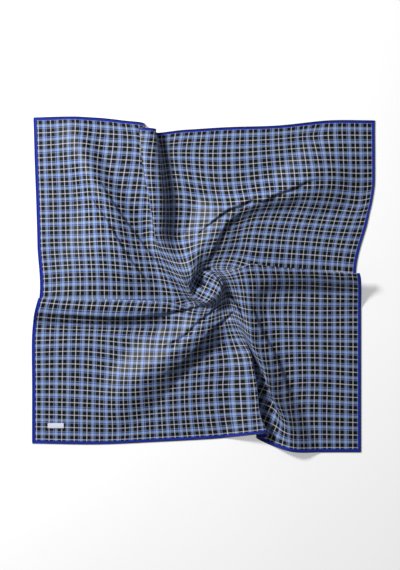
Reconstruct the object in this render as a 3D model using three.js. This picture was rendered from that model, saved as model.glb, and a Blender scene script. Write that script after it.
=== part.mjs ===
// A square silk scarf laid out flat, pinched at its middle and twisted a little, so that
// four pleats and four soft ridges run from a small rosette to the hem.
// Millimetres, +Z up, +X to the right and +Y away. The scarf rests on z = 0 and its
// bounding box is centred on the origin.
import * as THREE from 'three';

// The cloth before it was folded.
const CLOTH_WIDTH = 900;
const CLOTH_LENGTH = 896;
const CLOTH_THICKNESS = 1.2;
const HEM_WIDTH = 4;
const HEM_RISE = 1.2;

// Guide heights below this lie flat on the surface.
const SETTLE = 1;

// The rosette: where its middle lies on the cloth (across, down) and in the plan (x, y).
const ROSETTE = { across: 462, down: 449, x: 5, y: -6, height: 22 };

// Rings of cloth drawn in around the rosette's middle. radius is on the cloth, drawnIn in the
// plan, turn the twist between the two in degrees. heights go clockwise from +X.
const ROSETTE_RINGS = [
  { radius: 93, drawnIn: 47, turn: 40, heights: [21, 19, 19, 21, 38, 43, 14, 21] },
  { radius: 57, drawnIn: 37, turn: 58, heights: [43, 45, 40, 34, 14, 14, 24, 38] },
];

// A woven label sewn flat near the lower left corner.
const LABEL = { width: 38, depth: 12, thickness: 0.9, x: -351, y: -334 };
const LABEL_GAP = 0.3;

const SILK = { color: 0x6d7ca3, roughness: 0.55, metalness: 0 };
const SATIN_WHITE = { color: 0xf2f1ee, roughness: 0.6, metalness: 0 };

// Where each fold line of the cloth lies. A station is [across, down, x, y, z]: across and down
// are measured on the cloth from its upper left corner, and x, y, z are its place in the plan
// and its height. The stations of a fold run from the hem towards the rosette.
const FOLDS = [
  {
    fold: 'top hem, left',
    stations: [
      [0, 0, -403, 394, 0], [85, 0, -320, 396, 4], [160, 0, -246, 393, 0], [215, 0, -192, 387, 1],
      [246, 0, -161, 384, 1],
    ],
  },
  {
    fold: 'top hem, right',
    stations: [
      [440, 0, -56, 364, 0], [550, 0, 55, 371, 0], [670, 0, 175, 375, 0],
      [790, 0, 295, 387, 1], [900, 0, 403, 387, 0],
    ],
  },
  {
    fold: 'right hem, upper',
    stations: [[900, 105, 403, 283, 0], [900, 165, 401, 222, 0], [900, 255, 383, 136, 0]],
  },
  {
    fold: 'right hem, lower',
    stations: [[900, 723, 370, -222, 0], [900, 896, 370, -396, 0]],
  },
  {
    fold: 'bottom hem, left',
    stations: [[0, 896, -406, -375, 0], [160, 896, -248, -377, 0], [320, 896, -88, -370, 0]],
  },
  {
    fold: 'left hem, upper',
    stations: [[0, 100, -400, 293, 0], [0, 210, -396, 186, 0], [0, 315, -393, 82, 0]],
  },
  {
    fold: 'left hem, lower',
    stations: [[0, 757, -406, -236, 0]],
  },
  {
    fold: 'top left ridge, outer foot',
    stations: [
      [45, 20, -358, 375, 0], [65, 85, -338, 312, 1], [90, 150, -312, 247, 1],
      [115, 215, -286, 185, 9], [120, 295, -280, 104, 14],
    ],
  },
  {
    fold: 'top left ridge, crest',
    stations: [
      [90, 20, -314, 378, 5], [125, 95, -284, 304, 17], [150, 155, -260, 244, 28],
      [180, 225, -229, 173, 38], [200, 320, -203, 80, 35], [235, 375, -165, 25, 26],
    ],
  },
  {
    fold: 'top left ridge, inner foot',
    stations: [
      [145, 20, -259, 374, 0], [175, 100, -237, 292, 2], [210, 155, -206, 234, 4],
      [250, 225, -167, 163, 7], [275, 300, -139, 92, 9], [305, 350, -107, 45, 12],
    ],
  },
  {
    fold: 'left pleat, upper edge',
    stations: [
      [0, 430, -389, -33, 0], [115, 430, -279, -31, 7], [205, 430, -192, -31, 12],
      [300, 430, -98, -30, 8],
    ],
  },
  {
    fold: 'left pleat, tuck',
    stations: [
      [0, 480, -399, -80, 6], [115, 480, -280, -79, 9], [205, 480, -190, -79, 11],
      [305, 478, -93, -72, 10],
    ],
  },
  {
    fold: 'left pleat, crest',
    stations: [
      [0, 547, -389, -32, 26], [120, 542, -271, -34, 29], [215, 542, -174, -36, 29],
      [315, 537, -82, -40, 29],
    ],
  },
  {
    fold: 'left pleat, brow',
    stations: [
      [0, 586, -400, -70, 17], [120, 586, -279, -77, 19], [213, 585, -187, -78, 20],
      [308, 578, -92, -70, 20],
    ],
  },
  {
    fold: 'left pleat, foot',
    stations: [
      [0, 612, -404, -94, 0], [117, 612, -284, -100, 1], [210, 611, -191, -101, 2],
      [300, 604, -100, -95, 5],
    ],
  },
  {
    fold: 'left pleat, flat',
    stations: [
      [0, 637, -406, -119, 0], [110, 637, -292, -118, 0], [205, 632, -199, -118, 1],
      [290, 627, -115, -117, 4],
    ],
  },
  {
    fold: 'right pleat, upper edge',
    stations: [
      [900, 360, 358, 27, 0], [790, 355, 258, 38, 0], [715, 352, 189, 45, 1],
      [650, 350, 126, 52, 4],
    ],
  },
  {
    fold: 'right pleat, tuck',
    stations: [
      [900, 402, 362, -12, 6], [785, 397, 252, -2, 7], [715, 392, 184, 5, 8],
      [650, 386, 117, 20, 12],
    ],
  },
  {
    fold: 'right pleat, crest',
    stations: [
      [900, 462, 363, 26, 45], [785, 457, 250, 35, 45], [720, 454, 185, 39, 45],
      [645, 446, 109, 48, 43],
    ],
  },
  {
    fold: 'right pleat, brow',
    stations: [
      [900, 474, 366, 17, 43], [785, 468, 251, 27, 43], [720, 466, 186, 30, 43],
      [645, 459, 111, 37, 41],
    ],
  },
  {
    fold: 'right pleat, flank',
    stations: [
      [900, 490, 368, 2, 32], [790, 491, 258, 9, 31], [720, 490, 189, 11, 31],
      [650, 488, 120, 12, 33],
    ],
  },
  {
    fold: 'right pleat, foot',
    stations: [
      [900, 561, 370, -59, 0], [790, 558, 259, -57, 0], [745, 556, 212, -53, 0],
      [690, 554, 155, -52, 2],
    ],
  },
  {
    fold: 'top pleat, left foot',
    stations: [
      [265, 0, -142, 380, 0], [265, 100, -142, 285, 0], [280, 185, -135, 202, 2],
      [300, 270, -122, 124, 7],
    ],
  },
  {
    fold: 'top pleat, tuck',
    stations: [
      [280, 0, -140, 372, 14], [282, 100, -136, 282, 12], [300, 185, -127, 199, 19],
      [315, 270, -115, 119, 19],
    ],
  },
  {
    fold: 'top pleat, left crest',
    stations: [
      [302, 0, -154, 368, 33], [312, 95, -146, 284, 40], [327, 180, -129, 201, 43],
      [336, 270, -117, 116, 35],
    ],
  },
  {
    fold: 'top pleat, spine',
    stations: [
      [323, 0, -134, 367, 37], [340, 95, -126, 282, 47], [350, 180, -113, 201, 47],
      [362, 270, -104, 116, 38],
    ],
  },
  {
    fold: 'top pleat, right crest',
    stations: [
      [344, 0, -115, 365, 32], [365, 95, -105, 281, 38], [375, 180, -95, 201, 38],
      [390, 270, -89, 116, 26],
    ],
  },
  {
    fold: 'top pleat, right wall',
    stations: [
      [365, 0, -115, 362, 14], [387, 95, -98, 282, 19], [396, 182, -86, 200, 19],
      [411, 270, -77, 115, 12],
    ],
  },
  {
    fold: 'top pleat, right foot',
    stations: [
      [385, 0, -112, 358, 0], [408, 95, -88, 285, 2], [418, 185, -71, 199, 2],
      [432, 270, -63, 114, 0],
    ],
  },
  {
    fold: 'top right ridge, upper foot',
    stations: [
      [760, 35, 256, 351, 1], [720, 70, 225, 317, 2], [646, 135, 157, 249, 5],
      [553, 158, 60, 217, 7], [486, 183, -3, 195, 6],
    ],
  },
  {
    fold: 'top right ridge, crest',
    stations: [
      [790, 20, 292, 368, 2], [805, 95, 312, 293, 9], [795, 135, 304, 253, 21],
      [716, 169, 227, 217, 28], [620, 186, 134, 198, 30], [563, 204, 76, 176, 26],
      [518, 264, 24, 127, 26], [495, 310, -5, 89, 28],
    ],
  },
  {
    fold: 'top right ridge, shaded side',
    stations: [[713, 201, 219, 192, 12], [622, 220, 128, 174, 13], [573, 235, 78, 151, 12]],
  },
  {
    fold: 'top right ridge, lower foot',
    stations: [
      [870, 195, 370, 186, 0], [805, 225, 296, 165, 0], [715, 260, 203, 140, 1],
      [630, 285, 120, 122, 4], [595, 315, 84, 94, 5],
    ],
  },
  {
    fold: 'bottom left ridge, outer foot',
    stations: [[130, 802, -277, -285, 0], [165, 737, -241, -221, 1], [225, 667, -180, -155, 2]],
  },
  {
    fold: 'bottom left ridge, crest',
    stations: [
      [210, 847, -197, -331, 2], [215, 812, -195, -297, 9], [240, 757, -172, -243, 21],
      [285, 717, -127, -203, 31], [340, 682, -72, -168, 35], [410, 632, -2, -116, 38],
    ],
  },
  {
    fold: 'bottom left ridge, inner foot',
    stations: [
      [245, 852, -163, -333, 0], [315, 777, -98, -256, 5], [400, 707, -17, -182, 2],
      [460, 677, 40, -145, 0],
    ],
  },
  {
    fold: 'bottom pleat, foot',
    stations: [[450, 896, 44, -362, 0], [465, 842, 54, -309, 0], [465, 772, 49, -240, 0]],
  },
  {
    fold: 'bottom pleat, crest',
    stations: [
      [566, 896, 150, -350, 28], [547, 837, 130, -297, 28], [546, 777, 124, -238, 26],
      [538, 707, 112, -168, 24],
    ],
  },
  {
    fold: 'bottom pleat, belly',
    stations: [
      [594, 896, 147, -359, 14], [562, 827, 118, -285, 17], [560, 767, 117, -226, 14],
      [551, 710, 109, -171, 13],
    ],
  },
  {
    fold: 'bottom strip, left fold',
    stations: [[630, 896, 123, -361, 8], [582, 824, 107, -280, 8], [571, 760, 107, -216, 8]],
  },
  {
    fold: 'bottom strip, middle',
    stations: [
      [657, 896, 142, -372, 0], [609, 822, 124, -273, 0], [587, 762, 122, -209, 2],
      [575, 704, 110, -162, 7],
    ],
  },
  {
    fold: 'bottom strip, right fold',
    stations: [[681, 896, 163, -381, 3], [648, 813, 167, -280, 5], [615, 770, 150, -228, 6]],
  },
  {
    fold: 'bottom right ridge, crest',
    stations: [
      [725, 896, 204, -393, 21], [705, 827, 190, -320, 31], [677, 784, 162, -277, 40],
      [648, 736, 144, -226, 40], [643, 658, 122, -155, 33], [637, 610, 115, -109, 31],
    ],
  },
  {
    fold: 'bottom right ridge, foot',
    stations: [
      [815, 896, 284, -396, 0], [765, 802, 234, -297, 0], [735, 732, 206, -227, 0],
      [712, 662, 181, -157, 2], [676, 588, 145, -84, 2],
    ],
  },
];

// Along a fold, guide points stand at most this far apart on the cloth.
const GUIDE_STEP = 34;

// Grid lines of the cloth: each span runs to a distance and is cut into equal cells. The cells
// are small over the pleats and the rosette.
const SPANS_ACROSS = [
  { to: HEM_WIDTH, cells: 1 },
  { to: 250, cells: 9 },
  { to: 730, cells: 44 },
  { to: CLOTH_WIDTH - HEM_WIDTH, cells: 5 },
  { to: CLOTH_WIDTH, cells: 1 },
];
const SPANS_DOWN = [
  { to: HEM_WIDTH, cells: 1 },
  { to: 350, cells: 12 },
  { to: 580, cells: 18 },
  { to: 802, cells: 7 },
  { to: CLOTH_LENGTH - HEM_WIDTH, cells: 9 },
  { to: CLOTH_LENGTH, cells: 1 },
];

// The points of one fold, smoothed through its stations and spaced evenly enough to guide.
function guideAlong(stations) {
  if (stations.length < 2) {
    return stations;
  }
  const onCloth = new THREE.CatmullRomCurve3(
    stations.map(([across, down]) => new THREE.Vector3(across, down, 0)), false, 'catmullrom');
  const inSpace = new THREE.CatmullRomCurve3(
    stations.map(([, , x, y, z]) => new THREE.Vector3(x, y, z)), false, 'catmullrom');
  const count = Math.max(stations.length - 1, Math.ceil(onCloth.getLength() / GUIDE_STEP));
  const points = [];
  for (let i = 0; i <= count; i += 1) {
    const cloth = onCloth.getPoint(i / count);
    const place = inSpace.getPoint(i / count);
    points.push([cloth.x, cloth.y, place.x, place.y, place.z]);
  }
  return points;
}

// The points of one ring of the rosette.
function guideAround({ radius, drawnIn, turn, heights }) {
  return heights.map((height, i) => {
    const angle = (2 * Math.PI * i) / heights.length;
    const clothAngle = angle + THREE.MathUtils.degToRad(turn);
    return [
      ROSETTE.across + radius * Math.cos(clothAngle),
      ROSETTE.down + radius * Math.sin(clothAngle),
      ROSETTE.x + drawnIn * Math.cos(angle),
      ROSETTE.y - drawnIn * Math.sin(angle),
      height,
    ];
  });
}

function guidePoints() {
  return [
    ...FOLDS.flatMap(({ stations }) => guideAlong(stations)),
    ...ROSETTE_RINGS.flatMap(guideAround),
    [ROSETTE.across, ROSETTE.down, ROSETTE.x, ROSETTE.y, ROSETTE.height],
  ];
}

// Solves rows * unknowns = values by elimination with row swaps. values has three columns.
function solve(rows, values) {
  const size = rows.length;
  for (let pivot = 0; pivot < size; pivot += 1) {
    let best = pivot;
    for (let i = pivot + 1; i < size; i += 1) {
      if (Math.abs(rows[i][pivot]) > Math.abs(rows[best][pivot])) {
        best = i;
      }
    }
    [rows[pivot], rows[best]] = [rows[best], rows[pivot]];
    [values[pivot], values[best]] = [values[best], values[pivot]];
    for (let i = pivot + 1; i < size; i += 1) {
      const factor = rows[i][pivot] / rows[pivot][pivot];
      for (let j = pivot; j < size; j += 1) {
        rows[i][j] -= factor * rows[pivot][j];
      }
      for (let k = 0; k < 3; k += 1) {
        values[i][k] -= factor * values[pivot][k];
      }
    }
  }
  for (let i = size - 1; i >= 0; i -= 1) {
    for (let k = 0; k < 3; k += 1) {
      for (let j = i + 1; j < size; j += 1) {
        values[i][k] -= rows[i][j] * values[j][k];
      }
      values[i][k] /= rows[i][i];
    }
  }
  return values;
}

// The pull between two places on the cloth in a thin bent sheet, from their squared distance.
function platePull(squared) {
  return squared > 0 ? squared * Math.log(squared) : 0;
}

// The smoothest sheet through the guide points, as a function from a place on the cloth to a
// place in space.
function bentSheet(points) {
  const unit = CLOTH_WIDTH;
  const sites = points.map(([across, down]) => [across / unit, down / unit]);
  const pullOf = ([a, b], [c, d]) => platePull((a - c) ** 2 + (b - d) ** 2);
  const termsAt = (site) => [...sites.map((other) => pullOf(site, other)), 1, ...site];
  const blank = [0, 0, 0];
  const rows = sites.map((site) => Float64Array.from(termsAt(site)));
  rows.push(Float64Array.from([...sites.map(() => 1), ...blank]));
  rows.push(Float64Array.from([...sites.map(([a]) => a), ...blank]));
  rows.push(Float64Array.from([...sites.map(([, b]) => b), ...blank]));
  const values = [...points.map(([, , x, y, z]) => [x, y, z]), [...blank], [...blank], [...blank]];
  const weights = solve(rows, values);
  return (across, down) => {
    const place = new THREE.Vector3();
    termsAt([across / unit, down / unit]).forEach((term, i) => {
      place.x += term * weights[i][0];
      place.y += term * weights[i][1];
      place.z += term * weights[i][2];
    });
    return place;
  };
}

// The middle surface of the cloth, resting on the floor where the guide is low.
function drapedPoint(sheet, across, down) {
  const place = sheet(across, down);
  place.z = Math.max(0, place.z - SETTLE) + CLOTH_THICKNESS / 2;
  return place;
}

function gridLines(spans) {
  const lines = [0];
  for (const { to, cells } of spans) {
    const from = lines[lines.length - 1];
    for (let i = 1; i <= cells; i += 1) {
      lines.push(from + ((to - from) * i) / cells);
    }
  }
  return lines;
}

// Unit normals of a grid of points, on the side that faces up where the cloth lies flat. The
// corners of the cells around a point count alike, so that the skins keep apart at sharp folds.
function gridNormals(grid) {
  return grid.map((column, i) => column.map((point, j) => {
    const normal = new THREE.Vector3();
    for (const [stepAcross, stepDown] of [[1, 1], [1, -1], [-1, 1], [-1, -1]]) {
      const beside = grid[i + stepAcross]?.[j];
      const below = column[j + stepDown];
      if (beside && below) {
        const alongRow = beside.clone().sub(point).multiplyScalar(stepAcross);
        const alongColumn = below.clone().sub(point).multiplyScalar(stepDown);
        normal.add(alongColumn.cross(alongRow).normalize());
      }
    }
    return normal.normalize();
  }));
}

// One closed sheet: an upper and a lower skin with a rim between them.
function shellGeometry(grid, normals, hemRise) {
  const columns = grid.length;
  const perColumn = grid[0].length;
  const positions = [];
  const addSkin = (offsetOf) => {
    grid.forEach((column, i) => column.forEach((point, j) => {
      const place = point.clone().addScaledVector(normals[i][j], offsetOf(i, j));
      positions.push(place.x, place.y, Math.max(0, place.z));
    }));
  };
  const onRim = (i, j) => i === 0 || j === 0 || i === columns - 1 || j === perColumn - 1;
  addSkin((i, j) => CLOTH_THICKNESS / 2 + (onRim(i, j) ? hemRise : 0));
  addSkin(() => -CLOTH_THICKNESS / 2);

  const upper = (i, j) => i * perColumn + j;
  const lower = (i, j) => columns * perColumn + upper(i, j);
  const faces = [];
  const addTriangle = (a, b, c) => {
    faces.push(upper(...a), upper(...b), upper(...c));
    faces.push(lower(...a), lower(...c), lower(...b));
  };
  for (let i = 0; i < columns - 1; i += 1) {
    for (let j = 0; j < perColumn - 1; j += 1) {
      const [a, b, c, d] = [[i, j], [i, j + 1], [i + 1, j + 1], [i + 1, j]];
      // A cell is split along its longer diagonal, the one that runs along a fold and not over it.
      if (grid[i][j].distanceTo(grid[i + 1][j + 1]) > grid[i][j + 1].distanceTo(grid[i + 1][j])) {
        addTriangle(a, b, c);
        addTriangle(a, c, d);
      } else {
        addTriangle(a, b, d);
        addTriangle(b, c, d);
      }
    }
  }
  const addRim = (a, b) => {
    faces.push(upper(...a), upper(...b), lower(...a));
    faces.push(upper(...b), lower(...b), lower(...a));
  };
  for (let i = 0; i < columns - 1; i += 1) {
    addRim([i, 0], [i + 1, 0]);
    addRim([i + 1, perColumn - 1], [i, perColumn - 1]);
  }
  for (let j = 0; j < perColumn - 1; j += 1) {
    addRim([0, j + 1], [0, j]);
    addRim([columns - 1, j], [columns - 1, j + 1]);
  }
  const geometry = new THREE.BufferGeometry();
  geometry.setAttribute('position', new THREE.Float32BufferAttribute(positions, 3));
  geometry.setIndex(faces);
  return geometry;
}

function scarfMesh() {
  const sheet = bentSheet(guidePoints());
  const down = gridLines(SPANS_DOWN);
  const grid = gridLines(SPANS_ACROSS).map((across) => down.map((d) => drapedPoint(sheet, across, d)));
  const geometry = shellGeometry(grid, gridNormals(grid), HEM_RISE);
  const mesh = new THREE.Mesh(geometry, new THREE.MeshStandardMaterial(SILK));
  mesh.name = 'silk_square';
  return mesh;
}

function labelMesh() {
  const geometry = new THREE.BoxGeometry(LABEL.width, LABEL.depth, LABEL.thickness);
  const mesh = new THREE.Mesh(geometry, new THREE.MeshStandardMaterial(SATIN_WHITE));
  mesh.name = 'woven_label';
  mesh.position.set(LABEL.x, LABEL.y, CLOTH_THICKNESS + LABEL_GAP + LABEL.thickness / 2);
  return mesh;
}

function buildScarf() {
  const scarf = new THREE.Group();
  scarf.add(scarfMesh(), labelMesh());
  const box = new THREE.Box3().setFromObject(scarf);
  const centre = box.getCenter(new THREE.Vector3());
  scarf.position.set(-centre.x, -centre.y, 0);
  return scarf;
}

export default buildScarf();
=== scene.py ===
"""Looks for a square checked silk scarf, laid out flat, pinched at its middle and twisted.

The cloth is one thin sheet bent through the fold lines of its solid, with finer creases laid
over it. Sizes are in millimetres unless a name says metres.
"""

import logging
import math
from dataclasses import dataclass
from enum import Enum
from typing import Iterable, NamedTuple, Sequence

import bpy
import numpy as np
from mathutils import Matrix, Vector


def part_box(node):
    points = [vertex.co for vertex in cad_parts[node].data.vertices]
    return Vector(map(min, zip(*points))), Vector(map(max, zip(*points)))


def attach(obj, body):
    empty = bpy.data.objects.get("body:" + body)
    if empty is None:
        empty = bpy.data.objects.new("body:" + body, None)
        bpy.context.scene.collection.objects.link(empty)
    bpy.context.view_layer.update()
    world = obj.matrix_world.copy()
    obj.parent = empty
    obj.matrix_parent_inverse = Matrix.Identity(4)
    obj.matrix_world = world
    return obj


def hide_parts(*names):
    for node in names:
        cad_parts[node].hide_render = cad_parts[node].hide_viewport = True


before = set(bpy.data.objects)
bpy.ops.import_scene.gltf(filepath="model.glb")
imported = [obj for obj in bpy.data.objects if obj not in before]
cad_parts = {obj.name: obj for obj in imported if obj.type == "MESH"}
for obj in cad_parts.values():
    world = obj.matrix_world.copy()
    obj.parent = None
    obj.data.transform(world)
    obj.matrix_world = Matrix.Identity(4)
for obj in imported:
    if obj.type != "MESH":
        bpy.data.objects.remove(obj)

LOG = logging.getLogger("scarf")
METRE = 0.001

CLOTH_WIDTH = 900.0
CLOTH_LENGTH = 896.0

NEARLY_ZERO = 1e-300

Colour = tuple[float, float, float, float]
Station = tuple[float, float, float, float, float]


class Fold(NamedTuple):
    """A fold line of the cloth, with its stations from the hem towards the rosette.

    A station is (across, down, x, y, z): its place on the cloth, measured from the upper left
    corner, and its place in the plan and height.
    """

    name: str
    stations: tuple[Station, ...]


FOLDS: tuple[Fold, ...] = (
    Fold(
        "top hem, left",
        (
            (0, 0, -403, 394, 0), (85, 0, -320, 396, 4), (160, 0, -246, 393, 0),
            (215, 0, -192, 387, 1), (246, 0, -161, 384, 1),
        ),
    ),
    Fold(
        "top hem, right",
        (
            (440, 0, -56, 364, 0), (550, 0, 55, 371, 0), (670, 0, 175, 375, 0),
            (790, 0, 295, 387, 1), (900, 0, 403, 387, 0),
        ),
    ),
    Fold("right hem, upper", ((900, 105, 403, 283, 0), (900, 165, 401, 222, 0), (900, 255, 383, 136, 0))),
    Fold("right hem, lower", ((900, 723, 370, -222, 0), (900, 896, 370, -396, 0))),
    Fold(
        "bottom hem, left",
        ((0, 896, -406, -375, 0), (160, 896, -248, -377, 0), (320, 896, -88, -370, 0)),
    ),
    Fold("left hem, upper", ((0, 100, -400, 293, 0), (0, 210, -396, 186, 0), (0, 315, -393, 82, 0))),
    Fold("left hem, lower", ((0, 757, -406, -236, 0),)),
    Fold(
        "top left ridge, outer foot",
        (
            (45, 20, -358, 375, 0), (65, 85, -338, 312, 1), (90, 150, -312, 247, 1),
            (115, 215, -286, 185, 9), (120, 295, -280, 104, 14),
        ),
    ),
    Fold(
        "top left ridge, crest",
        (
            (90, 20, -314, 378, 5), (125, 95, -284, 304, 17), (150, 155, -260, 244, 28),
            (180, 225, -229, 173, 38), (200, 320, -203, 80, 35), (235, 375, -165, 25, 26),
        ),
    ),
    Fold(
        "top left ridge, inner foot",
        (
            (145, 20, -259, 374, 0), (175, 100, -237, 292, 2), (210, 155, -206, 234, 4),
            (250, 225, -167, 163, 7), (275, 300, -139, 92, 9), (305, 350, -107, 45, 12),
        ),
    ),
    Fold(
        "left pleat, upper edge",
        (
            (0, 430, -389, -33, 0), (115, 430, -279, -31, 7), (205, 430, -192, -31, 12),
            (300, 430, -98, -30, 8),
        ),
    ),
    Fold(
        "left pleat, tuck",
        (
            (0, 480, -399, -80, 6), (115, 480, -280, -79, 9), (205, 480, -190, -79, 11),
            (305, 478, -93, -72, 10),
        ),
    ),
    Fold(
        "left pleat, crest",
        (
            (0, 547, -389, -32, 26), (120, 542, -271, -34, 29), (215, 542, -174, -36, 29),
            (315, 537, -82, -40, 29),
        ),
    ),
    Fold(
        "left pleat, brow",
        (
            (0, 586, -400, -70, 17), (120, 586, -279, -77, 19), (213, 585, -187, -78, 20),
            (308, 578, -92, -70, 20),
        ),
    ),
    Fold(
        "left pleat, foot",
        (
            (0, 612, -404, -94, 0), (117, 612, -284, -100, 1), (210, 611, -191, -101, 2),
            (300, 604, -100, -95, 5),
        ),
    ),
    Fold(
        "left pleat, flat",
        (
            (0, 637, -406, -119, 0), (110, 637, -292, -118, 0), (205, 632, -199, -118, 1),
            (290, 627, -115, -117, 4),
        ),
    ),
    Fold(
        "right pleat, upper edge",
        ((900, 360, 358, 27, 0), (790, 355, 258, 38, 0), (715, 352, 189, 45, 1), (650, 350, 126, 52, 4)),
    ),
    Fold(
        "right pleat, tuck",
        ((900, 402, 362, -12, 6), (785, 397, 252, -2, 7), (715, 392, 184, 5, 8), (650, 386, 117, 20, 12)),
    ),
    Fold(
        "right pleat, crest",
        (
            (900, 462, 363, 26, 45), (785, 457, 250, 35, 45), (720, 454, 185, 39, 45),
            (645, 446, 109, 48, 43),
        ),
    ),
    Fold(
        "right pleat, brow",
        (
            (900, 474, 366, 17, 43), (785, 468, 251, 27, 43), (720, 466, 186, 30, 43),
            (645, 459, 111, 37, 41),
        ),
    ),
    Fold(
        "right pleat, flank",
        ((900, 490, 368, 2, 32), (790, 491, 258, 9, 31), (720, 490, 189, 11, 31), (650, 488, 120, 12, 33)),
    ),
    Fold(
        "right pleat, foot",
        (
            (900, 561, 370, -59, 0), (790, 558, 259, -57, 0), (745, 556, 212, -53, 0),
            (690, 554, 155, -52, 2),
        ),
    ),
    Fold(
        "top pleat, left foot",
        (
            (265, 0, -142, 380, 0), (265, 100, -142, 285, 0), (280, 185, -135, 202, 2),
            (300, 270, -122, 124, 7),
        ),
    ),
    Fold(
        "top pleat, tuck",
        (
            (280, 0, -140, 372, 14), (282, 100, -136, 282, 12), (300, 185, -127, 199, 19),
            (315, 270, -115, 119, 19),
        ),
    ),
    Fold(
        "top pleat, left crest",
        (
            (302, 0, -154, 368, 33), (312, 95, -146, 284, 40), (327, 180, -129, 201, 43),
            (336, 270, -117, 116, 35),
        ),
    ),
    Fold(
        "top pleat, spine",
        (
            (323, 0, -134, 367, 37), (340, 95, -126, 282, 47), (350, 180, -113, 201, 47),
            (362, 270, -104, 116, 38),
        ),
    ),
    Fold(
        "top pleat, right crest",
        (
            (344, 0, -115, 365, 32), (365, 95, -105, 281, 38), (375, 180, -95, 201, 38),
            (390, 270, -89, 116, 26),
        ),
    ),
    Fold(
        "top pleat, right wall",
        (
            (365, 0, -115, 362, 14), (387, 95, -98, 282, 19), (396, 182, -86, 200, 19),
            (411, 270, -77, 115, 12),
        ),
    ),
    Fold(
        "top pleat, right foot",
        ((385, 0, -112, 358, 0), (408, 95, -88, 285, 2), (418, 185, -71, 199, 2), (432, 270, -63, 114, 0)),
    ),
    Fold(
        "top right ridge, upper foot",
        (
            (760, 35, 256, 351, 1), (720, 70, 225, 317, 2), (646, 135, 157, 249, 5),
            (553, 158, 60, 217, 7), (486, 183, -3, 195, 6),
        ),
    ),
    Fold(
        "top right ridge, crest",
        (
            (790, 20, 292, 368, 2), (805, 95, 312, 293, 9), (795, 135, 304, 253, 21),
            (716, 169, 227, 217, 28), (620, 186, 134, 198, 30), (563, 204, 76, 176, 26),
            (518, 264, 24, 127, 26), (495, 310, -5, 89, 28),
        ),
    ),
    Fold(
        "top right ridge, shaded side",
        ((713, 201, 219, 192, 12), (622, 220, 128, 174, 13), (573, 235, 78, 151, 12)),
    ),
    Fold(
        "top right ridge, lower foot",
        (
            (870, 195, 370, 186, 0), (805, 225, 296, 165, 0), (715, 260, 203, 140, 1),
            (630, 285, 120, 122, 4), (595, 315, 84, 94, 5),
        ),
    ),
    Fold(
        "bottom left ridge, outer foot",
        ((130, 802, -277, -285, 0), (165, 737, -241, -221, 1), (225, 667, -180, -155, 2)),
    ),
    Fold(
        "bottom left ridge, crest",
        (
            (210, 847, -197, -331, 2), (215, 812, -195, -297, 9), (240, 757, -172, -243, 21),
            (285, 717, -127, -203, 31), (340, 682, -72, -168, 35), (410, 632, -2, -116, 38),
        ),
    ),
    Fold(
        "bottom left ridge, inner foot",
        (
            (245, 852, -163, -333, 0), (315, 777, -98, -256, 5), (400, 707, -17, -182, 2),
            (460, 677, 40, -145, 0),
        ),
    ),
    Fold("bottom pleat, foot", ((450, 896, 44, -362, 0), (465, 842, 54, -309, 0), (465, 772, 49, -240, 0))),
    Fold(
        "bottom pleat, crest",
        (
            (566, 896, 150, -350, 28), (547, 837, 130, -297, 28), (546, 777, 124, -238, 26),
            (538, 707, 112, -168, 24),
        ),
    ),
    Fold(
        "bottom pleat, belly",
        (
            (594, 896, 147, -359, 14), (562, 827, 118, -285, 17), (560, 767, 117, -226, 14),
            (551, 710, 109, -171, 13),
        ),
    ),
    Fold(
        "bottom strip, left fold",
        ((630, 896, 123, -361, 8), (582, 824, 107, -280, 8), (571, 760, 107, -216, 8)),
    ),
    Fold(
        "bottom strip, middle",
        (
            (657, 896, 142, -372, 0), (609, 822, 124, -273, 0), (587, 762, 122, -209, 2),
            (575, 704, 110, -162, 7),
        ),
    ),
    Fold(
        "bottom strip, right fold",
        ((681, 896, 163, -381, 3), (648, 813, 167, -280, 5), (615, 770, 150, -228, 6)),
    ),
    Fold(
        "bottom right ridge, crest",
        (
            (725, 896, 204, -393, 21), (705, 827, 190, -320, 31), (677, 784, 162, -277, 40),
            (648, 736, 144, -226, 40), (643, 658, 122, -155, 33), (637, 610, 115, -109, 31),
        ),
    ),
    Fold(
        "bottom right ridge, foot",
        (
            (815, 896, 284, -396, 0), (765, 802, 234, -297, 0), (735, 732, 206, -227, 0),
            (712, 662, 181, -157, 2), (676, 588, 145, -84, 2),
        ),
    ),
)


def linear(red: int, green: int, blue: int) -> Colour:
    """A colour given as it looks on a screen, in the linear values that a shader takes.

    Args:
        red: Red, from 0 to 255.
        green: Green, from 0 to 255.
        blue: Blue, from 0 to 255.

    Returns:
        Linear red, green and blue, and an alpha of 1.
    """

    def channel(value: int) -> float:
        """One channel of the colour."""
        share = value / 255
        return share / 12.92 if share <= 0.04045 else ((share + 0.055) / 1.055) ** 2.4

    return channel(red), channel(green), channel(blue), 1.0


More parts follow.
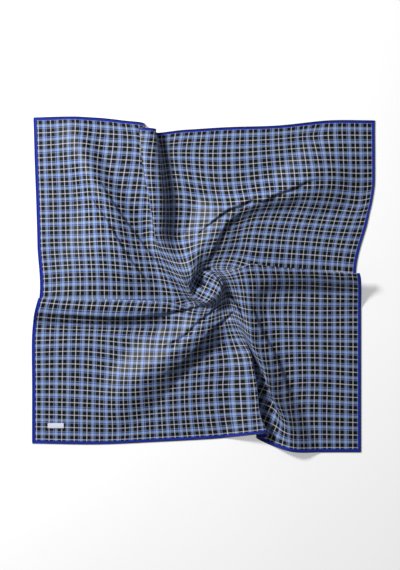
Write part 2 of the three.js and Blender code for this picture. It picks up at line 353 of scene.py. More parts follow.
class Recipe:
    """A material's node tree, built up one node at a time."""

    def __init__(self, name: str) -> None:
        """Starts an empty material with a surface shader and its output."""
        self.material = bpy.data.materials.new(name)
        self.material.use_nodes = True
        self.tree = self.material.node_tree
        self.tree.nodes.clear()
        self.surface = self.node("ShaderNodeBsdfPrincipled")
        output = self.node("ShaderNodeOutputMaterial")
        self.link(self.surface.outputs["BSDF"], output.inputs["Surface"])

    def node(self, kind: str, **settings: object) -> bpy.types.Node:
        """Adds a node.

        Args:
            kind: Blender's name of the node type.
            **settings: The node's own properties.

        Returns:
            The new node.
        """
        made = self.tree.nodes.new(kind)
        for key, value in settings.items():
            setattr(made, key, value)
        return made

    def link(self, source: bpy.types.NodeSocket, target: bpy.types.NodeSocket) -> None:
        """Joins an output to an input."""
        self.tree.links.new(source, target)

    def feed(self, target: bpy.types.NodeSocket, value: object) -> None:
        """Gives an input its value, or joins it to an output."""
        if isinstance(value, bpy.types.NodeSocket):
            self.link(value, target)
        else:
            target.default_value = value

    def maths(self, operation: str, *values: object) -> bpy.types.NodeSocket:
        """One step of arithmetic.

        Args:
            operation: Blender's name of the operation.
            *values: Its numbers or outputs, in order.

        Returns:
            The result's output.
        """
        made = self.node("ShaderNodeMath", operation=operation)
        for socket, value in zip(made.inputs, values):
            self.feed(socket, value)
        return made.outputs[0]

    def mix(self, share: object, first: object, second: object) -> bpy.types.NodeSocket:
        """A colour between two colours.

        Args:
            share: How much of the second colour, from 0 to 1, as a number or an output.
            first: A colour or an output.
            second: A colour or an output.

        Returns:
            The mixed colour's output.
        """
        made = self.node("ShaderNodeMix", data_type="RGBA")
        self.feed(made.inputs[0], share)
        self.feed(made.inputs[6], first)
        self.feed(made.inputs[7], second)
        return made.outputs[2]

    def noise(self, place: bpy.types.NodeSocket, scale: float, detail: float = 2.0) -> bpy.types.NodeSocket:
        """A cloudy value from 0 to 1 that changes with place.

        Args:
            place: The coordinates.
            scale: How many clouds to a unit of the coordinates.
            detail: How many finer layers.

        Returns:
            The value's output.
        """
        made = self.node("ShaderNodeTexNoise")
        self.link(place, made.inputs["Vector"])
        made.inputs["Scale"].default_value = scale
        made.inputs["Detail"].default_value = detail
        return made.outputs[0]

    def bump(self, height: bpy.types.NodeSocket, strength: float, distance: float) -> None:
        """Roughens the surface by a height.

        Args:
            height: The height's output.
            strength: How much of it shows, from 0 to 1.
            distance: How tall a height of 1 is, in metres.
        """
        made = self.node("ShaderNodeBump")
        made.inputs["Strength"].default_value = strength
        made.inputs["Distance"].default_value = distance
        self.link(height, made.inputs["Height"])
        self.link(made.outputs["Normal"], self.surface.inputs["Normal"])

    def settle(self, **values: float) -> None:
        """Sets constant values of the surface shader, named with _ for a space."""
        for key, value in values.items():
            self.surface.inputs[key.replace("_", " ")].default_value = value


class Stripe(NamedTuple):
    """One stripe of the check: where it starts, in repeats, and its colour."""

    start: float
    colour: Colour


BLACK = linear(7, 8, 12)
CREAM = linear(224, 224, 236)
MIST = linear(134, 151, 174)
SKY = linear(156, 181, 230)
ROYAL = linear(40, 66, 165)
BORDER_BLUE = linear(18, 46, 162)
HEM_NAVY = linear(10, 16, 62)

# The stripes of two repeats, warp and weft alike, from the middle of a cream line. The second
# repeat is the first one turned round.
SETT: tuple[Stripe, ...] = (
    Stripe(0.0, CREAM),
    Stripe(0.035, BLACK),
    Stripe(0.315, MIST),
    Stripe(0.385, ROYAL),
    Stripe(0.455, SKY),
    Stripe(0.60, MIST),
    Stripe(0.685, BLACK),
    Stripe(0.965, CREAM),
    Stripe(1.035, BLACK),
    Stripe(1.315, MIST),
    Stripe(1.40, SKY),
    Stripe(1.545, ROYAL),
    Stripe(1.615, MIST),
    Stripe(1.685, BLACK),
    Stripe(1.965, CREAM),
)


class Yarns(NamedTuple):
    """One set of yarns: its repeats over the cloth, and where the first double repeat starts."""

    repeats: float
    start: float


@dataclass(frozen=True)
class SilkTwill:
    """Checked silk twill with a narrow blue border, painted by its places on the cloth."""

    border: float = 6.5
    warp: Yarns = Yarns(29.92, 1.315)
    weft: Yarns = Yarns(30.55, 1.20)
    twill_pitch: float = 1.1
    clouds_per_mm: float = 0.05
    darkest: float = 0.92
    cloudiness: float = 0.16
    slubs_per_mm: float = 0.9
    smoothest: float = 0.4
    slub_roughness: float = 0.14
    relief: float = 0.25
    relief_metres: float = 0.0001

    def stripes(self, recipe: Recipe, along: bpy.types.NodeSocket, yarns: Yarns) -> bpy.types.NodeSocket:
        """The colour of one set of yarns.

        Args:
            recipe: The material being built.
            along: The place on the cloth, from 0 to 1.
            yarns: The set of yarns.

        Returns:
            The colour's output.
        """
        counted = recipe.maths("MULTIPLY_ADD", along, yarns.repeats / 2, -yarns.start / 2)
        ramp = recipe.node("ShaderNodeValToRGB")
        ramp.color_ramp.interpolation = "CONSTANT"
        stops = ramp.color_ramp.elements
        for index, stripe in enumerate(SETT):
            stop = stops[index] if index < 2 else stops.new(stripe.start / 2)
            stop.position = stripe.start / 2
            stop.color = stripe.colour
        recipe.link(recipe.maths("FRACT", counted), ramp.inputs[0])
        return ramp.outputs[0]

    def inside(self, recipe: Recipe, along: bpy.types.NodeSocket, length: float) -> bpy.types.NodeSocket:
        """1 inside the borders of one direction and 0 on them.

        Args:
            recipe: The material being built.
            along: The place on the cloth, from 0 to 1.
            length: The cloth's size in that direction.

        Returns:
            The value's output.
        """
        off_middle = recipe.maths("ABSOLUTE", recipe.maths("SUBTRACT", along, 0.5))
        return recipe.maths("LESS_THAN", off_middle, 0.5 - self.border / length)

    def material(self) -> bpy.types.Material:
        """Builds the material."""
        recipe = Recipe("silk_twill")
        places = recipe.node("ShaderNodeUVMap", uv_map=SilkSquare.PLACES).outputs[0]
        split = recipe.node("ShaderNodeSeparateXYZ")
        recipe.link(places, split.inputs[0])
        across, down = split.outputs[0], split.outputs[1]
        warp = self.stripes(recipe, across, self.warp)
        weft = self.stripes(recipe, down, self.weft)

        spread = recipe.node("ShaderNodeMapping")
        spread.inputs["Scale"].default_value = (CLOTH_WIDTH, CLOTH_LENGTH, 1)
        recipe.link(places, spread.inputs[0])
        cloth = spread.outputs[0]
        rib = recipe.node("ShaderNodeTexWave", bands_direction="DIAGONAL")
        rib.inputs["Scale"].default_value = 1 / (3 * self.twill_pitch)
        recipe.link(cloth, rib.inputs[0])

        check = recipe.mix(0.5, warp, weft)
        on_cloth = recipe.maths(
            "MULTIPLY",
            self.inside(recipe, across, CLOTH_WIDTH),
            self.inside(recipe, down, CLOTH_LENGTH),
        )
        painted = recipe.mix(on_cloth, BORDER_BLUE, check)
        cloudy = recipe.noise(cloth, self.clouds_per_mm)
        shade = recipe.node("ShaderNodeHueSaturation")
        recipe.link(painted, shade.inputs["Color"])
        value = recipe.maths("MULTIPLY_ADD", cloudy, self.cloudiness, self.darkest)
        recipe.link(value, shade.inputs["Value"])
        recipe.link(shade.outputs[0], recipe.surface.inputs["Base Color"])

        slubs = recipe.noise(cloth, self.slubs_per_mm, 3)
        roughness = recipe.maths("MULTIPLY_ADD", slubs, self.slub_roughness, self.smoothest)
        recipe.link(roughness, recipe.surface.inputs["Roughness"])
        recipe.settle(Sheen_Weight=0.06, Sheen_Roughness=0.4, Specular_IOR_Level=0.22)
        weave = recipe.maths("ADD", rib.outputs["Fac"], slubs)
        recipe.bump(weave, self.relief, self.relief_metres)
        return recipe.material


@dataclass(frozen=True)
class RolledSilk:
    """The hem's silk: the border's blue at the left, turning to navy towards the right.

    The turn begins turn_start turn widths to the left of the middle.
    """

    cloud_metres: float = 0.012
    turn_width_metres: float = 0.02
    turn_start: float = 19.0
    patchiness: float = 0.5
    grains_per_metre: float = 700

    def material(self) -> bpy.types.Material:
        """Builds the material."""
        recipe = Recipe("rolled_silk")
        places = recipe.node("ShaderNodeTexCoord").outputs["Object"]
        patchy = recipe.noise(places, 1 / self.cloud_metres)
        split = recipe.node("ShaderNodeSeparateXYZ")
        recipe.link(places, split.inputs[0])
        steepness = 1 / self.turn_width_metres
        rightward = recipe.maths("MULTIPLY_ADD", split.outputs[0], steepness, self.turn_start)
        navy = recipe.maths("ADD", rightward, recipe.maths("MULTIPLY", patchy, self.patchiness))
        share = recipe.node("ShaderNodeClamp")
        recipe.link(navy, share.inputs[0])
        blue = recipe.mix(share.outputs[0], BORDER_BLUE, HEM_NAVY)
        recipe.link(blue, recipe.surface.inputs["Base Color"])
        recipe.settle(Roughness=0.5, Sheen_Weight=0.25, Sheen_Roughness=0.4)
        recipe.bump(recipe.noise(places, self.grains_per_metre), 0.3, 0.0003)
        return recipe.material


@dataclass(frozen=True)
class SatinTape:
    """White satin tape with fine ribs across its width."""

    rib_pitch: float = 0.7

    def material(self) -> bpy.types.Material:
        """Builds the material."""
        recipe = Recipe("satin_tape")
        places = recipe.node("ShaderNodeTexCoord").outputs["Object"]
        rib = recipe.node("ShaderNodeTexWave", bands_direction="X")
        rib.inputs["Scale"].default_value = 1 / (3 * self.rib_pitch * METRE)
        recipe.link(places, rib.inputs[0])
        cloudy = recipe.noise(places, 300)
        recipe.link(
            recipe.mix(cloudy, linear(224, 226, 242), linear(238, 239, 252)),
            recipe.surface.inputs["Base Color"],
        )
        recipe.settle(Roughness=0.42, Sheen_Weight=0.2)
        recipe.bump(rib.outputs["Fac"], 0.2, 0.0001)
        return recipe.material


@dataclass(frozen=True)
class PalePaper:
    """The plain pale floor, with painted light: it glows a little, evenly, which brightens it and lightens
    the shadows cast on it.
    """

    painted_glow: float = 0.36

    def material(self) -> bpy.types.Material:
        """Builds the material."""
        recipe = Recipe("pale_paper")
        places = recipe.node("ShaderNodeTexCoord").outputs["Object"]
        cloudy = recipe.noise(places, 3)
        recipe.link(
            recipe.mix(cloudy, linear(231, 231, 232), linear(235, 235, 236)),
            recipe.surface.inputs["Base Color"],
        )
        # Painted light: the floor's glow lifts it towards white and lightens the shadows on it.
        recipe.settle(Roughness=0.9, Emission_Strength=self.painted_glow)
        recipe.surface.inputs["Emission Color"].default_value = linear(255, 255, 255)
        return recipe.material


@dataclass(frozen=True)
class BentSheet:
    """The smoothest thin sheet through a set of guide points."""

    sites: np.ndarray
    weights: np.ndarray
    unit: float = CLOTH_WIDTH

    @staticmethod
    def pull(first: np.ndarray, second: np.ndarray) -> np.ndarray:
        """How strongly each place of one list pulls on each of another in a bent plate.

        Args:
            first: Places on the cloth, one to a row.
            second: Places on the cloth, one to a row.

        Returns:
            A table with a row for each first place and a column for each second.
        """
        squared = ((first[:, None, :] - second[None, :, :]) ** 2).sum(-1)
        return squared * np.log(np.maximum(squared, NEARLY_ZERO))

    @classmethod
    def through(cls, guide: np.ndarray) -> "BentSheet":
        """Fits the sheet.

        Args:
            guide: Rows of across, down, x, y and z.

        Returns:
            The sheet.
        """
        sites = guide[:, :2] / cls.unit
        count = len(sites)
        table = np.zeros((count + 3, count + 3))
        table[:count, :count] = cls.pull(sites, sites)
        table[:count, count] = table[count, :count] = 1
        table[:count, count + 1 :] = sites
        table[count + 1 :, :count] = sites.T
        targets = np.zeros((count + 3, 3))
        targets[:count] = guide[:, 2:]
        return cls(sites, np.linalg.solve(table, targets))

    def places(self, across: np.ndarray, down: np.ndarray) -> np.ndarray:
        """Where points of the cloth lie in space.

        Args:
            across: Distances from the cloth's left hem.
            down: Distances from the cloth's top hem, in an array of the same shape.

        Returns:
            An array of that shape, with x, y and z as its last dimension.
        """
        asked = np.column_stack([across.ravel(), down.ravel()]) / self.unit
        terms = np.hstack([self.pull(asked, self.sites), np.ones((len(asked), 1)), asked])
        return (terms @ self.weights).reshape(*across.shape, 3)


def smooth_line(points: Sequence[Sequence[float]], count: int) -> np.ndarray:
    """A smooth curve through points, in equal steps between one point and the next.

    Args:
        points: The points, each with any number of values.
        count: How many steps the curve has.

    Returns:
        count + 1 points of the curve.
    """
    given = np.asarray(points, float)
    ends = np.vstack([2 * given[0] - given[1], given, 2 * given[-1] - given[-2]])
    steps = np.linspace(0, len(given) - 1, count + 1)
    first = np.minimum(steps.astype(int), len(given) - 2)
    share = (steps - first)[:, None]
    before, start, end, after = (ends[first + shift] for shift in range(4))
    leave, arrive = (end - before) / 2, (after - start) / 2
    cubic = 2 * (start - end) + leave + arrive
    square = 3 * (end - start) - 2 * leave - arrive
    return ((cubic * share + square) * share + leave) * share + start


class Ring(NamedTuple):
    """A ring of cloth drawn in round the rosette's middle.

    radius is on the cloth, drawn_in is in the plan, turn is the twist between the two in
    degrees, and heights go clockwise from +X.
    """

    radius: float
    drawn_in: float
    turn: float
    heights: tuple[float, ...]


@dataclass(frozen=True)
class Rosette:
    """The twisted middle, where the cloth was pinched."""

    across: float = 462
    down: float = 449
    x: float = 5
    y: float = -6
    height: float = 22
    rings: tuple[Ring, ...] = (
        Ring(93, 47, 40, (21, 19, 19, 21, 38, 43, 14, 21)),
        Ring(57, 37, 58, (43, 45, 40, 34, 14, 14, 24, 38)),
    )

    def around(self, ring: Ring) -> list[list[float]]:
        """Guide points on a ring of cloth round the middle.

        Args:
            ring: The ring.

        Returns:
            Rows of across, down, x, y and z.
        """
        rows = []
        for index, height in enumerate(ring.heights):
            angle = 2 * math.pi * index / len(ring.heights)
            on_cloth = angle + math.radians(ring.turn)
            rows.append(
                [
                    self.across + ring.radius * math.cos(on_cloth),
                    self.down + ring.radius * math.sin(on_cloth),
                    self.x + ring.drawn_in * math.cos(angle),
                    self.y - ring.drawn_in * math.sin(angle),
                    height,
                ]
            )
        return rows

    def guide(self) -> list[list[float]]:
        """All of the rosette's guide points."""
        points = [point for ring in self.rings for point in self.around(ring)]
        return [*points, [self.across, self.down, self.x, self.y, self.height]]


class Side(NamedTuple):
    """One side of a crease: how far it is lifted at the line, and how wide the lift is."""

    rise: float
    width: float


@dataclass(frozen=True)
class Crease:
    """A crisp ridge, trough or step along a line of the plan.

    left and right are its two sides, seen along the line. Where one is lifted and the other
    sunk, the cloth steps down at the line as a folded edge does, within the width of brink.
    A greater fade makes it fade in sooner from its two ends.
    """

    name: str
    line: tuple[tuple[float, float], ...]
    left: Side
    right: Side
    brink: float = 1.2
    fade: float = 6.0

    def lift(self, across: np.ndarray, down: np.ndarray, line: np.ndarray) -> np.ndarray:
        """How far it lifts points of the cloth.

        Args:
            across: Distances from the cloth's left hem.
            down: Distances from the cloth's top hem.
            line: The crease's line on the cloth, in rows of across and down.

        Returns:
            The rise at each point, less than 0 in a trough.
        """
        nearest = np.full(across.shape, np.inf)
        along = np.zeros(across.shape)
        to_right = np.zeros(across.shape)
        for index, (start, end) in enumerate(zip(line[:-1], line[1:])):
            run = end - start
            off_across, off_down = across - start[0], down - start[1]
            share = np.clip((off_across * run[0] + off_down * run[1]) / (run @ run), 0, 1)
            gap = np.hypot(off_across - share * run[0], off_down - share * run[1])
            side = np.sign(run[0] * off_down - run[1] * off_across)
            closer = gap < nearest
            nearest = np.where(closer, gap, nearest)
            along = np.where(closer, (index + share) / (len(line) - 1), along)
            to_right = np.where(closer, side * gap, to_right)
        share = 0.5 + 0.5 * np.tanh(to_right / self.brink)
        left = self.left.rise * np.exp(-((nearest / self.left.width) ** 2))
        right = self.right.rise * np.exp(-((nearest / self.right.width) ** 2))
        return np.minimum(1, self.fade * along * (1 - along)) * (left + share * (right - left))


CREASES: tuple[Crease, ...] = (
    Crease(
        "left pleat's brow",
        (
            (-398, -70), (-306, -74), (-214, -79), (-167, -77), (-105, -70), (-70, -63),
            (-34, -56), (-11, -44),
        ),
        Side(5.5, 22), Side(-4.5, 10),
    ),
    Crease(
        "foot of the left pleat",
        ((-380, -92), (-300, -96), (-214, -98), (-150, -97), (-110, -92)),
        Side(-3.5, 11), Side(-3, 12),
    ),
    Crease(
        "top right ridge's edge",
        (
            (297, 252), (250, 245), (202, 223), (169, 212), (136, 195), (115, 200), (84, 186),
            (53, 174), (13, 143), (-22, 112),
        ),
        Side(-5, 16), Side(5.5, 22),
    ),
    Crease(
        "groove under the top right roll",
        ((91, 171), (65, 153), (46, 131), (30, 98), (15, 70), (4, 46)),
        Side(-8, 13), Side(4, 14),
    ),
    Crease(
        "groove right of the rosette",
        ((1, 39), (18, 30), (32, 11), (41, -8), (53, -22), (67, -37), (84, -65), (100, -108)),
        Side(-8, 14), Side(5, 12),
    ),
    Crease(
        "bottom left ridge's upper side",
        ((41, -37), (18, -65), (-11, -89), (-41, -119), (-70, -138), (-105, -155)),
        Side(-7, 6), Side(-7, 6),
    ),
    Crease(
        "bottom left ridge's lower side",
        (
            (79, -56), (51, -79), (20, -103), (-4, -131), (-34, -167), (-70, -197),
            (-105, -216),
        ),
        Side(-6, 9), Side(3, 10),
    ),
    Crease(
        "long wrinkle of the top left ridge",
        (
            (-285, 257), (-266, 209), (-250, 181), (-226, 148), (-205, 110), (-186, 77),
            (-160, 41), (-134, 8), (-110, -20),
        ),
        Side(-5, 10), Side(5, 14),
    ),
    Crease(
        "inner wrinkle of the top left ridge",
        (
            (-247, 247), (-231, 219), (-200, 171), (-164, 122), (-129, 75), (-93, 30),
            (-67, 1), (-48, -20), (-30, -37),
        ),
        Side(-5, 10), Side(5, 14),
    ),
    Crease("right lip of the rosette", ((13, -4), (22, -18), (18, -32), (4, -41)), Side(6, 9), Side(6, 7)),
    Crease(
        "left lip of the rosette",
        ((-37, 4), (-27, -18), (-13, -32), (-4, -39)),
        Side(4, 7), Side(4, 9),
    ),
    Crease(
        "back of the top right roll",
        ((-8, 40), (-20, 26), (-29, 9), (-31, -7), (-26, -19)),
        Side(15, 22), Side(15, 20),
    ),
    Crease(
        "wrinkle beside the bottom right ridge",
        (
            (108, -37), (124, -79), (145, -124), (167, -164), (183, -202), (200, -252),
            (216, -297),
        ),
        Side(-4, 10), Side(4, 12),
    ),
    Crease(
        "foot of the lower right panel's brow",
        ((125, -26), (160, -23), (220, -22), (300, -22), (366, -21)),
        Side(-9, 20), Side(-8, 14),
    ),
    Crease("hollow of the rosette", ((-12, 16), (-14, 5), (-10, -7)), Side(-13, 12), Side(-13, 12)),
    Crease("pit above the rosette", ((2, 41), (6, 37), (10, 32)), Side(-16, 13), Side(-16, 13)),
)


class Span(NamedTuple):
    """A stretch of the cloth cut into equal cells."""

    to: float
    cells: int


class Ripple(NamedTuple):
    """Parallel waves in the cloth: how long they are across and down it, and their start."""

    across: float
    down: float
    start: float = 0.0

    def at(self, across: np.ndarray, down: np.ndarray) -> np.ndarray:
        """Its height at points of the cloth, from -1 to 1."""
        return np.sin(across / self.across + down / self.down + self.start)


@dataclass
class SilkSquare:
    """The scarf's cloth and its rolled hem."""

    thickness: float = 0.7
    settle: float = 1.0
    swell: float = 0.9
    guide_step: float = 34.0
    hem_radius: float = 1.3
    hem_sides: int = 8
    hem_step: float = 4.0
    stitch_pitch: float = 9.0
    stitch_pucker: float = 0.08
    crease_steps: int = 6
    search_step: float = 6.0
    search_rounds: int = 4
    longest_stride: float = 4.0

    PLACES = "cloth_places"
    SLOW_WAVES = (Ripple(61, 97, 0.7), Ripple(-149, 73, 1.9))
    QUICK_WAVES = (Ripple(23, -41, 0.4), Ripple(67, 29))
    SPANS_ACROSS = (Span(100, 12), Span(300, 87), Span(620, 152), Span(730, 36), Span(CLOTH_WIDTH, 26))
    SPANS_DOWN = (Span(90, 12), Span(300, 86), Span(600, 140), Span(700, 36), Span(CLOTH_LENGTH, 42))

    def __post_init__(self) -> None:
        """Bends the sheet and finds the shift that puts it in the frame."""
        self.sheet = BentSheet.through(np.array(self.guide()))
        self.across = self.grid_lines(self.SPANS_ACROSS)
        self.down = self.grid_lines(self.SPANS_DOWN)
        self.shift = np.zeros(3)
        self.creases = [(crease, self.crease_line(crease)) for crease in CREASES]
        grid = self.sheet.places(*np.meshgrid(self.across, self.down, indexing="ij"))
        low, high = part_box("silk_square")
        middle = (np.array(low) + np.array(high)) / 2 / METRE
        own = (grid.min((0, 1)) + grid.max((0, 1))) / 2
        self.shift = np.array([middle[0] - own[0], middle[1] - own[1], 0])

    def guide(self) -> list[list[float]]:
        """The points that the sheet passes through.

        Returns:
            Rows of across, down, x, y and z.
        """
        rows: list[list[float]] = []
        for fold in FOLDS:
            if len(fold.stations) < 2:
                rows.extend(list(station) for station in fold.stations)
                continue
            trial = smooth_line([station[:2] for station in fold.stations], 200)
            length = np.linalg.norm(np.diff(trial, axis=0), axis=1).sum()
            count = max(len(fold.stations) - 1, math.ceil(length / self.guide_step))
            rows.extend(smooth_line(fold.stations, count).tolist())
        return rows + Rosette().guide()

    def crease_line(self, crease: Crease) -> np.ndarray:
        """A crease's smooth line on the cloth, in rows of across and down."""
        return smooth_line(self.on_cloth(crease.line), self.crease_steps * (len(crease.line) - 1))

    @staticmethod
    def grid_lines(spans: Iterable[Span]) -> np.ndarray:
        """The cloth's grid lines in one direction.

        Args:
            spans: The stretches, each with where it ends and how many cells it has.

        Returns:
            The distance of each line from the hem.
        """
        lines = [0.0]
        for span in spans:
            start = lines[-1]
            lines.extend(start + (span.to - start) * (i + 1) / span.cells for i in range(span.cells))
        return np.array(lines)

    def on_cloth(self, line: Iterable[Sequence[float]]) -> np.ndarray:
        """The places on the cloth that are on top at points of the plan.

        Args:
            line: The points, each with x and y.

        Returns:
            Rows of across and down.
        """
        across, down = np.meshgrid(
            np.arange(0, CLOTH_WIDTH, self.search_step),
            np.arange(0, CLOTH_LENGTH, self.search_step),
            indexing="ij",
        )
        grid = self.sheet.places(across, down)
        found = []
        for point in line:
            gap = np.hypot(grid[..., 0] - point[0], grid[..., 1] - point[1])
            near = gap < gap.min() + self.search_step
            start = np.unravel_index(np.argmax(np.where(near, grid[..., 2], -np.inf)), gap.shape)
            place = np.array([across[start], down[start]])
            for _ in range(self.search_rounds):
                aside, below = np.array([0, 1, 0]), np.array([0, 0, 1])
                spots = self.sheet.places(place[0] + aside, place[1] + below)[:, :2]
                slope = np.column_stack([spots[1] - spots[0], spots[2] - spots[0]])
                stride = np.linalg.solve(slope, point - spots[0])
                place = place + np.clip(stride, -self.longest_stride, self.longest_stride)
            found.append(place)
        return np.array(found)

    def wave(self, across: np.ndarray, down: np.ndarray) -> np.ndarray:
        """How far the laid cloth swells off the floor, in low uneven waves."""
        slow, quick = (
            first.at(across, down) * second.at(across, down)
            for first, second in (self.SLOW_WAVES, self.QUICK_WAVES)
        )
        return self.swell * np.clip(0.5 + 0.4 * slow + 0.2 * quick, 0, 1)

    def surface(self, across: np.ndarray, down: np.ndarray) -> np.ndarray:
        """The middle surface of the cloth, resting on the floor where it is low.

        Args:
            across: Distances from the cloth's left hem.
            down: Distances from the cloth's top hem.

        Returns:
            x, y and z of each point, in the row frame.
        """
        places = self.sheet.places(across, down)
        height = places[..., 2] - self.settle
        for crease, line in self.creases:
            height += crease.lift(across, down, line)
        places[..., 2] = np.maximum(0, height) + self.wave(across, down) + self.thickness / 2
        return places + self.shift

    def cloth(self) -> bpy.types.Object:
        """Builds the cloth as one thin sheet, which the hem closes all round.

        Returns:
            The cloth, not yet dressed.
        """
        across, down = np.meshgrid(self.across, self.down, indexing="ij")
        grid = self.surface(across, down)
        columns, rows = across.shape
        number = np.arange(columns * rows).reshape(columns, rows)
        a, b = number[:-1, :-1].ravel(), number[:-1, 1:].ravel()
        c, d = number[1:, 1:].ravel(), number[1:, :-1].ravel()
        flat = grid.reshape(-1, 3)
        falling = np.linalg.norm(flat[a] - flat[c], axis=1)
        rising = np.linalg.norm(flat[b] - flat[d], axis=1)
        along_fold = (falling > rising)[:, None]
        first = np.where(along_fold, np.column_stack([a, b, c]), np.column_stack([a, b, d]))
        second = np.where(along_fold, np.column_stack([a, c, d]), np.column_stack([b, c, d]))
        places = np.column_stack([across.ravel() / CLOTH_WIDTH, down.ravel() / CLOTH_LENGTH])
        return mesh_object("silk_cloth", flat * METRE, np.concatenate([first, second]), places)

    def hem_line(self) -> np.ndarray:
        """The middle of the rolled hem, once round the cloth."""
        corners = np.array([(0, 0), (CLOTH_WIDTH, 0), (CLOTH_WIDTH, CLOTH_LENGTH), (0, CLOTH_LENGTH)])
        lines = []
        for start, end in zip(corners, np.roll(corners, -1, axis=0)):
            run = end - start
            count = int(np.abs(run).max() / self.hem_step)
            share = np.arange(count) / count
            lines.append(self.surface(start[0] + share * run[0], start[1] + share * run[1]))
        line = np.concatenate(lines)
        line[:, 2] = np.maximum(line[:, 2], self.hem_radius)
        return line

    def hem(self) -> bpy.types.Object:
        """Builds the rolled hem as a closed tube round the cloth.

        Returns:
            The hem, not yet dressed.
        """
        line = self.hem_line()
        run = np.roll(line, -1, axis=0) - np.roll(line, 1, axis=0)
        run /= np.linalg.norm(run, axis=1, keepdims=True)
        side = np.cross(run, (0, 0, 1))
        side /= np.linalg.norm(side, axis=1, keepdims=True)
        up = np.cross(side, run)
        turns = 2 * math.pi * np.arange(self.hem_sides) / self.hem_sides
        stitches = np.arange(len(line)) * 2 * math.pi * self.hem_step / self.stitch_pitch
        pucker = 1 + self.stitch_pucker * np.sin(stitches)
        sideways = np.cos(turns)[None, :, None] * side[:, None, :]
        upwards = np.sin(turns)[None, :, None] * up[:, None, :]
        radius = self.hem_radius * pucker[:, None, None]
        rings = line[:, None, :] + radius * (sideways + upwards)
        rings[..., 2] = np.maximum(rings[..., 2], 0)
        number = np.arange(len(line) * self.hem_sides).reshape(len(line), self.hem_sides)
        ahead, round_it = np.roll(number, -1, axis=0), np.roll(number, -1, axis=1)
        faces = np.stack([number, round_it, np.roll(ahead, -1, axis=1), ahead], axis=-1).reshape(-1, 4)
        return mesh_object("rolled_hem", rings.reshape(-1, 3) * METRE, faces)

    def build(self) -> None:
        hem = self.hem()
        hem.data.materials.append(RolledSilk().material())
        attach(hem, "root")
        cloth = self.cloth()
        cloth.data.materials.append(SilkTwill().material())
        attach(cloth, "root")
        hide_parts("silk_square")
        report(cloth)
        report(hem)


@dataclass
class WovenLabel:
    """The plain satin label sewn near the lower left corner, its ends folded under.

    edge, body and fold are shares of the solid's thickness: the label's height at its edges,
    what its body adds, and what a folded end adds.
    """

    sides: int = 20
    folded_end: float = 3.0
    fold_slope: float = 0.5
    rounded_edge: float = 0.6
    crown: float = 0.25
    edge: float = 0.45
    body: float = 0.25
    fold: float = 0.3

    def build(self) -> None:
        """Builds the label on its solid's place."""
        low, high = (np.array(corner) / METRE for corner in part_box("woven_label"))
        size = high - low
        lines_x = np.linspace(low[0], high[0], 2 * self.sides + 1)
        lines_y = np.linspace(low[1], high[1], self.sides + 1)
        x, y = np.meshgrid(lines_x, lines_y, indexing="ij")
        from_end = np.minimum(x - low[0], high[0] - x)
        from_side = np.minimum(y - low[1], high[1] - y)
        rounding = np.clip(np.minimum(from_end, from_side) / self.rounded_edge, 0, 1)
        folded = np.clip((self.folded_end - from_end) / self.fold_slope, 0, 1)
        top = low[2] + size[2] * (self.edge + self.body * rounding + self.fold * folded)
        top += self.crown * np.sin(math.pi * (y - low[1]) / size[1]) * (1 - folded)
        bottom = np.full_like(top, low[2])
        skins = [np.stack([x, y, z], axis=-1).reshape(-1, 3) for z in (top, bottom)]
        points = np.concatenate(skins)
        columns, rows = x.shape
        number = np.arange(columns * rows).reshape(columns, rows)
        below = columns * rows
        cell = [number[:-1, :-1], number[1:, :-1], number[1:, 1:], number[:-1, 1:]]
        upper = np.stack(cell, axis=-1).reshape(-1, 4)
        rim = np.concatenate([number[:, 0], number[-1, 1:], number[-2::-1, -1], number[0, -2:0:-1]])
        ahead = np.roll(rim, -1)
        around = np.stack([rim + below, ahead + below, ahead, rim], axis=-1)
        faces = np.concatenate([upper, upper[:, ::-1] + below, around])
        label = mesh_object("satin_label", points * METRE, faces)
        label.data.materials.append(SatinTape().material())
        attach(label, "root")
        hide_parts("woven_label")
        report(label)


def mesh_object(
    name: str, points: np.ndarray, faces: np.ndarray, places: np.ndarray | None = None
) -> bpy.types.Object:
    """Makes a smooth-shaded mesh object in the scene.

    Args:
        name: The object's name.
        points: Its points, in metres.
        faces: Point numbers, a face to a row.
        places: The place on the cloth of each point, as a share of its width and length.

    Returns:
        The new object.
    """
    mesh = bpy.data.meshes.new(name)
    mesh.from_pydata(points.tolist(), [], faces.tolist())
    mesh.polygons.foreach_set("use_smooth", np.ones(len(mesh.polygons), bool))
    if places is not None:
        layer = mesh.uv_layers.new(name=SilkSquare.PLACES)
        corners = np.zeros(len(mesh.loops), np.int32)
        mesh.loops.foreach_get("vertex_index", corners)
        layer.data.foreach_set("uv", places[corners].astype(np.float32).ravel())
    mesh.update()
    made = bpy.data.objects.new(name, mesh)
    bpy.context.scene.collection.objects.link(made)
    return made


def report(piece: bpy.types.Object) -> None:
    """Logs a piece and its number of faces."""
    LOG.info("%s: %d faces", piece.name, len(piece.data.polygons))


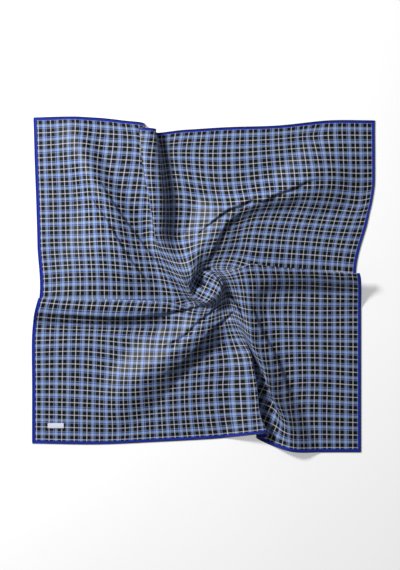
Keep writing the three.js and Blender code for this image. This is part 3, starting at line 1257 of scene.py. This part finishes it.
class Lamp(Enum):
    """The studio's lamps: name, place in metres, size in metres, power in watts."""

    WINDOW = ("window", (-1.7, 1.28, 1.9), 0.7, 86.0)
    REFLECTOR = ("reflector", (2.6, -2.2, 3.4), 3.0, 2.0)


@dataclass
class Studio:
    """The floor, the lights and the camera. Its sizes are in metres."""

    floor_half: float = 6.0
    camera_height: float = 5.0
    shown_width: float = 0.946
    aim: tuple[float, float] = (-0.0082, -0.0012)
    sky: float = 0.155

    def floor(self) -> None:
        """Lays the pale floor just under the scarf."""
        half = self.floor_half
        corners = np.array([(-half, -half, 0), (half, -half, 0), (half, half, 0), (-half, half, 0)])
        made = mesh_object("floor", corners, np.array([[0, 1, 2, 3]]))
        made.data.materials.append(PalePaper().material())

    def lamps(self) -> None:
        """Hangs the lamps and sets the light of the room."""
        for lamp in Lamp:
            name, place, size, power = lamp.value
            light = bpy.data.lights.new(name, "AREA")
            light.shape = "DISK"
            light.size = size
            light.energy = power
            made = bpy.data.objects.new(name, light)
            made.location = place
            made.rotation_euler = (-Vector(place)).to_track_quat("-Z", "Y").to_euler()
            bpy.context.scene.collection.objects.link(made)
        world = bpy.data.worlds.new("room")
        world.use_nodes = True
        world.node_tree.nodes["Background"].inputs["Color"].default_value = (1, 1, 1, 1)
        world.node_tree.nodes["Background"].inputs["Strength"].default_value = self.sky
        bpy.context.scene.world = world

    def camera(self) -> None:
        """Hangs the camera straight above the scarf, with the photograph's framing."""
        made = bpy.data.objects.new("camera", bpy.data.cameras.new("camera"))
        data = made.data
        data.sensor_width = 36
        photo_width, photo_height = 400, 570
        shown_long = self.shown_width * photo_height / photo_width
        data.lens = data.sensor_width * self.camera_height / shown_long
        made.location = (self.aim[0], self.aim[1], self.camera_height)
        bpy.context.scene.collection.objects.link(made)
        bpy.context.scene.camera = made

    def build(self) -> None:
        """Sets up the studio."""
        self.floor()
        self.lamps()
        self.camera()
        bpy.context.scene.view_settings.view_transform = "Standard"


def main() -> None:
    """Builds the scarf and its studio."""
    logging.basicConfig(level=logging.INFO, format="%(name)s %(message)s")
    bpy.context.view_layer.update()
    Studio().build()
    SilkSquare().build()
    WovenLabel().build()


if __name__ == "__main__":
    main()
